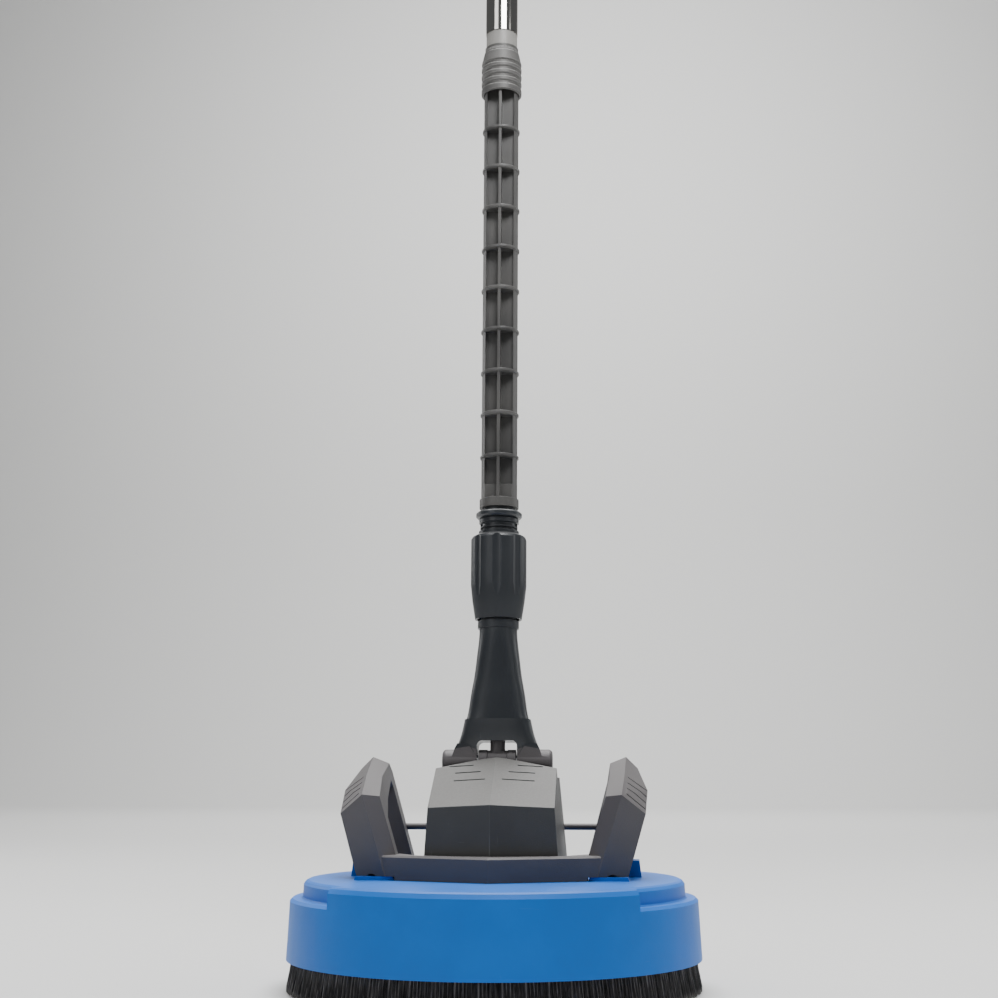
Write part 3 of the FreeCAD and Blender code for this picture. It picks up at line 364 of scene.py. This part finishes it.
black_nylon = nylon("bristle_black", (0.042, 0.041, 0.044), (0.009, 0.009, 0.010), 0.42)
silver_nylon = nylon("bristle_silver", (0.20, 0.195, 0.20), (0.08, 0.078, 0.082), 0.38)
strands = []
segment_turn = math.tau / BRISTLE_SEGMENTS
for row in range(BRISTLE_ROWS):
    share = row / (BRISTLE_ROWS - 1)
    root = ROOT_INNER + (ROOT_OUTER - ROOT_INNER) * share
    tip = ROOT_INNER + TIP_SPLAY + (tip_outer - ROOT_INNER - TIP_SPLAY) * share
    for number in range(BRISTLES_IN_ROW):
        silver = random.random() < SILVER_SHARE
        length = skirt_top - FLOOR_GAP - random.random() ** 2 * LENGTH_VARIES
        along_row = number + 0.5 * (row % 2) + random.uniform(-SPACING_VARIES, SPACING_VARIES)
        turn = segment_turn * along_row / BRISTLES_IN_ROW
        swing = random.uniform(-SWING, SWING)
        bpy.ops.mesh.primitive_cone_add(vertices=4, radius1=BRISTLE_RADIUS * BRISTLE_TAPER,
                                        radius2=BRISTLE_RADIUS, depth=length, end_fill_type="NGON")
        strand = bpy.context.object
        for vertex in strand.data.vertices:
            at_tip = vertex.co.z < 0
            reach = (tip if at_tip else root) + random.uniform(-REACH_VARIES, REACH_VARIES)
            side = vertex.co.y + (swing if at_tip else 0)
            level = skirt_top - length if at_tip else skirt_top + ROOT_SUNK
            out = reach + vertex.co.x
            vertex.co = (out * math.sin(turn) + side * math.cos(turn),
                         -out * math.cos(turn) + side * math.sin(turn), level)
        strand.data.materials.append(silver_nylon if silver else black_nylon)
        strands.append(strand)
bpy.ops.object.select_all(action="DESELECT")
for strand in strands:
    strand.select_set(True)
bristles = strands[0]
bpy.context.view_layer.objects.active = bristles
bpy.ops.object.join()
bristles.name = "bristle_skirt"
bpy.ops.object.mode_set(mode="EDIT")
bpy.ops.mesh.select_all(action="SELECT")
bpy.ops.mesh.spin(steps=BRISTLE_SEGMENTS - 1, dupli=True,
                  angle=math.tau * (BRISTLE_SEGMENTS - 1) / BRISTLE_SEGMENTS,
                  center=(0, 0, 0), axis=(0, 0, 1))
bpy.ops.mesh.select_all(action="DESELECT")
bpy.ops.object.mode_set(mode="OBJECT")
for vertex in bristles.data.vertices:
    vertex.select = vertex.co.z < skirt_top / 2
bpy.ops.object.mode_set(mode="EDIT")
bpy.ops.transform.vertex_random(offset=TIP_SCATTER, uniform=0.3, seed=5)
bpy.ops.object.mode_set(mode="OBJECT")
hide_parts("brush_bristles")
settle(bristles, "head")

CARRIER_BLACK = (0.02, 0.02, 0.022)
CARRIER_BLACK_DEEP = (0.012, 0.012, 0.013)
carrier_plastic = moulded_plastic("brush_carrier", CARRIER_BLACK, CARRIER_BLACK_DEEP, 0.5, 0.00006, 0.3, 0.4)
softened("brush_ring", "head", 0.0005, [carrier_plastic])

# ---- The hub and its bearings
# A sand-cast alloy hub hangs in the deck by its flange. It holds two ground steel
# ball bearings, a circlip, a rubber seal and the brass nipple that lets the water in.


def turned_metal(name, colour, roughness, along, grooves):
    """Metal that was turned or drawn: fine lines round or along it, a few stains."""
    finish = Finish(name, {"Metallic": 1.0})
    lines = finish.clouds(grooves, 3, along)
    stains = finish.step(finish.clouds(34, 5), 0.5, 0.72)
    darker = tuple(0.62 * channel for channel in colour)
    shade = finish.tint(stains * 0.55, colour, darker)
    return finish.apply_surface(shade, roughness + lines * 0.12 + stains * 0.18, lines, 0.00003)


def cast_metal(name, colour, roughness):
    """Cast alloy: a pitted skin, darker in the pits."""
    finish = Finish(name, {"Metallic": 0.9})
    lumps = finish.clouds(330, 5)
    pits = finish.step(finish.pits(520), 0.28, 0.06)
    darker = tuple(0.55 * channel for channel in colour)
    shade = finish.tint(pits * 0.6, colour, darker)
    return finish.apply_surface(shade, roughness + lumps * 0.15, lumps - pits * 0.7, 0.00016)


def seal_rubber(name):
    finish = Finish(name, {"Specular IOR Level": 0.35})
    bloom = finish.step(finish.clouds(160, 5), 0.45, 0.75)
    shade = finish.tint(bloom * 0.5, (0.012, 0.012, 0.012), (0.05, 0.05, 0.05))
    return finish.apply_surface(shade, 0.62 + bloom * 0.2, finish.clouds(1500, 2), 0.00005)


def refinish(node, material):
    """A node whose shape is right keeps it and gets the better finish."""
    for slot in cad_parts[node].material_slots:
        slot.material = material


AROUND = (1, 1, 60)
ALONG = (60, 60, 1)
hub_alloy = cast_metal("hub_alloy", (0.56, 0.57, 0.59), 0.38)
bearing_steel = turned_metal("bearing_steel", (0.60, 0.61, 0.62), 0.16, AROUND, 30)
shaft_steel = turned_metal("shaft_steel", (0.55, 0.56, 0.58), 0.22, AROUND, 24)
arm_steel = turned_metal("arm_steel", (0.55, 0.56, 0.58), 0.20, (1, 60, 60), 24)
rubber = seal_rubber("seal_rubber")
brass = turned_metal("brass", (0.74, 0.52, 0.22), 0.24, AROUND, 24)
softened("bearing_housing", "head", 0.0007, [hub_alloy])
for node in ("bearing_outer_races", "bearing_inner_races", "bearing_balls",
             "bearing_circlip", "shaft_circlip"):
    refinish(node, bearing_steel)
for node in ("rotor_seal", "eye_seals", "plug_seals", "quick_plug_seal"):
    refinish(node, rubber)
refinish("inlet_nipple", brass)
refinish("rotor_shaft", shaft_steel)
refinish("pivot_axle", shaft_steel)

# ---- The rotor
# A brass cross block under the hub, two stainless arms and a slanted nozzle at each
# tip. The block is machined from bar, so its corners have small chamfers.

softened("rotor_block", "rotor", 0.0009, [brass], 24, 1)
softened("nozzle_holders", "rotor", 0.0006, [brass])
softened("spray_nozzles", "rotor", 0.0004, [shaft_steel])
refinish("spray_arms", arm_steel)

# ---- The screws
# Zinc-plated pan heads. The ones that show are rounded, and each has a cross recess
# that a boolean cuts with a small four-armed punch.

PUNCH_HALF = 0.0014
PUNCH_WIDTH = 0.0008
zinc = turned_metal("screw_steel", (0.50, 0.51, 0.54), 0.30, (1, 1, 1), 400)


def recessed_screws(node, body, out):
    """A group of screws with cross recesses; out is the way that the heads face."""
    group = softened(node, body, 0.0005, [zinc])
    chosen(group)
    bpy.ops.object.duplicate()
    bpy.ops.object.mode_set(mode="EDIT")
    bpy.ops.mesh.select_all(action="SELECT")
    bpy.ops.mesh.separate(type="LOOSE")
    bpy.ops.object.mode_set(mode="OBJECT")
    loose = list(bpy.context.selected_objects)
    facing = Vector((0, 0, 1)).rotation_difference(out)
    punches = []
    for single in loose:
        corners = [Vector(corner) for corner in single.bound_box]
        centre = sum(corners, Vector()) / 8
        tip = max(vertex.co.dot(out) for vertex in single.data.vertices)
        spot = centre + out * (tip - centre.dot(out))
        for quarter in (0, math.pi / 2):
            bpy.ops.mesh.primitive_cube_add(size=1, location=spot)
            punch = bpy.context.object
            punch.scale = (2 * PUNCH_HALF, PUNCH_WIDTH, 2 * PUNCH_WIDTH)
            punch.rotation_mode = "QUATERNION"
            punch.rotation_quaternion = facing @ Quaternion((0, 0, 1), quarter)
            punches.append(punch)
    bpy.ops.object.select_all(action="DESELECT")
    for punch in punches:
        punch.select_set(True)
    bpy.context.view_layer.objects.active = punches[0]
    bpy.ops.object.join()
    cutter = bpy.context.object
    bpy.ops.object.transform_apply(location=True, rotation=True, scale=True)
    chosen(group)
    recess = group.modifiers.new("recess", "BOOLEAN")
    recess.operation = "DIFFERENCE"
    recess.solver = "EXACT"
    recess.use_self = True
    recess.object = cutter
    bpy.ops.object.modifier_apply(modifier="recess")
    bpy.ops.object.select_all(action="DESELECT")
    for helper in [cutter, *loose]:
        helper.select_set(True)
    bpy.ops.object.delete()
    bpy.ops.object.select_all(action="DESELECT")


recessed_screws("frame_screws", "head", Vector((0, 0, -1)))
recessed_screws("cover_screws", "head", Vector((0, 0, -1)))
recessed_screws("hub_screws", "head", Vector((0, 0, 1)))

# ---- The handle frame
# One large moulding in mid grey, fine-grained plastic: the V-shaped front bar, the
# two looped grips with four finger slots each, and the slim rail behind.

FRAME_GREY = (0.083, 0.077, 0.080)
FRAME_GREY_DEEP = (0.073, 0.067, 0.070)
# A lighter grey for the rounded edges of the frame and pivot parts: a painted edge highlight.
FRAME_EDGE_HIGHLIGHT = (0.12, 0.12, 0.13)
frame_plastic = moulded_plastic("frame_grey", FRAME_GREY, FRAME_GREY_DEEP, 0.46, 0.00010, 0.12, 0.5)
# The rounded edges get the lighter grey: a painted edge highlight.
frame_edge_highlight = moulded_plastic("frame_grey_edge_highlight", FRAME_EDGE_HIGHLIGHT, FRAME_GREY, 0.38, 0.00006, 0.12, 0.8)
softened("handle_frame", "head", 0.0009, [frame_plastic, frame_edge_highlight], 16, 3)

# ---- The pivot
# The block that is bolted on the hub, with two lugs for the hollow axle, and the
# water eye that turns on it. Both are glass-filled plastic in the frame's grey.

softened("pivot_block", "head", 0.0007, [frame_plastic, frame_edge_highlight])
softened("swivel_eye", "neck", 0.0005, [frame_plastic, frame_edge_highlight])

# ---- The cover
# A faceted shell screwed down from under the deck, with a gabled roof, three shallow
# slots each side of its ridge, and a saddle behind for the neck's bosses.

COVER_GREY = (0.043, 0.043, 0.042)
COVER_GREY_DEEP = (0.037, 0.037, 0.036)
# A much lighter grey for the cover's rounded edges: a painted edge highlight.
COVER_EDGE_HIGHLIGHT = (0.11, 0.115, 0.115)
# The large share of the pale top tint makes the cover's roof lighter: a painted top light, with some dust.
cover_plastic = moulded_plastic("cover_shell_grey", COVER_GREY, COVER_GREY_DEEP, 0.42, 0.00008, 0.28, 0.5)
cover_edge_highlight = moulded_plastic("cover_shell_edge_highlight", COVER_EDGE_HIGHLIGHT, COVER_GREY, 0.36, 0.00006, 0.12, 0.8)
softened("housing_cover", "head", 0.0012, [cover_plastic, cover_edge_highlight], 10, 3)

# ---- The neck
# Two charcoal half shells screwed together from behind round the water pipe. They
# fork over the pivot and end in round bosses on the axle. The bosses and the fork's
# lower faces beside the arch are given the frame's mid grey.

LEAN = math.radians(4.5)
CAP_START = 0.0335
CAP_TOP = 0.166
ARCH_HALF = 0.0149
CHARCOAL = (0.025, 0.028, 0.032)
CHARCOAL_DEEP = (0.020, 0.023, 0.027)
# A lighter charcoal for the rounded edges of the neck, collar and plug: a painted edge highlight.
CHARCOAL_EDGE_HIGHLIGHT = (0.062, 0.066, 0.073)
neck_plastic = moulded_plastic("neck_charcoal", CHARCOAL, CHARCOAL_DEEP, 0.30, 0.00005, 0.10, 0.4)
# The rounded edges get the lighter charcoal: a painted edge highlight.
neck_edge_highlight = moulded_plastic("neck_charcoal_edge_highlight", CHARCOAL_EDGE_HIGHLIGHT, CHARCOAL, 0.34, 0.00006, 0.1, 0.6)
for node in ("neck_front_shell", "neck_rear_shell"):
    shell = softened(node, "neck", 0.0004, [neck_plastic, neck_edge_highlight], 32)
    shell.data.materials.append(frame_plastic)
    # Faces out on the bosses, and those below CAP_TOP outside the arch, get the frame's mid grey.
    for face in shell.data.polygons:
        if abs(face.center.x) > CAP_START or (face.center.z < CAP_TOP and abs(face.center.x) > ARCH_HALF):
            face.material_index = 2
softened("neck_socket", "neck", 0.0005, [neck_plastic])
refinish("neck_pipe", shaft_steel)
recessed_screws("neck_screws", "neck", Vector((0, math.cos(LEAN), -math.sin(LEAN))))

# ---- The lock collar and the bayonet plug
# The collar has eight broad flutes for the fingers. Above it shows the ringed head
# of the plug at the foot of the extension.

softened("lock_collar", "collar", 0.0006, [neck_plastic, neck_edge_highlight], 22)
EXTENSION_GREY = (0.078, 0.076, 0.073)
EXTENSION_GREY_DEEP = (0.060, 0.059, 0.058)
# A lighter grey for the rounded edges of the extension, its ring and the end cap: a painted edge highlight.
EXTENSION_EDGE_HIGHLIGHT = (0.17, 0.168, 0.163)
extension_plastic = moulded_plastic("cover_grey", EXTENSION_GREY, EXTENSION_GREY_DEEP,
                                    0.40, 0.00007, 0.12, 0.4)
# The rounded edges get the lighter grey: a painted edge highlight.
extension_edge_highlight = moulded_plastic("cover_grey_edge_highlight", EXTENSION_EDGE_HIGHLIGHT, EXTENSION_GREY,
                                  0.34, 0.00005, 0.1, 0.6)
softened("bayonet_plug", "neck", 0.0004, [neck_plastic, neck_edge_highlight], 20)

# ---- The ribbed extension
# A moulded cover over the steel core tube: nine rings, a web down the middle and
# boxed bays between them, as moulders make a long thin part stiff.

softened("extension_cover", "neck", 0.0003, [extension_plastic, extension_edge_highlight], 26)
refinish("core_tube", shaft_steel)
softened("lock_ring", "top_ring", 0.0003, [extension_plastic, extension_edge_highlight], 20)

# ---- The upper lance
# A light grey joint sleeve, then a drawn steel tube with bright chrome on it, and at
# the top its moulded cap and the brass plug that a spray gun's coupling takes.

SLEEVE_GREY = (0.25, 0.245, 0.23)
SLEEVE_GREY_DEEP = (0.22, 0.215, 0.205)
CHROME = (0.56, 0.545, 0.515)
CHROME_HAZE = (0.42, 0.41, 0.385)
sleeve_plastic = moulded_plastic("sleeve_grey", SLEEVE_GREY, SLEEVE_GREY_DEEP, 0.40, 0.00006, 0.2, 0.5)
softened("lance_sleeve", "neck", 0.0003, [sleeve_plastic])


def bright_chrome(name):
    """Decorative chrome with drawing lines along the tube, haze and a few smears."""
    finish = Finish(name, {"Metallic": 1.0})
    lines = finish.clouds(900, 3, (1, 1, 0.01))
    haze = finish.step(finish.clouds(28, 6, (1, 1, 0.3)), 0.48, 0.75)
    shade = finish.tint(haze * 0.35, CHROME, CHROME_HAZE)
    return finish.apply_surface(shade, 0.06 + haze * 0.14 + lines * 0.04, lines, 0.00001)


refinish("lance_tube", bright_chrome("lance_chrome"))
softened("lance_end_cap", "neck", 0.0006, [extension_plastic, extension_edge_highlight])
softened("quick_plug", "neck", 0.0003, [brass])
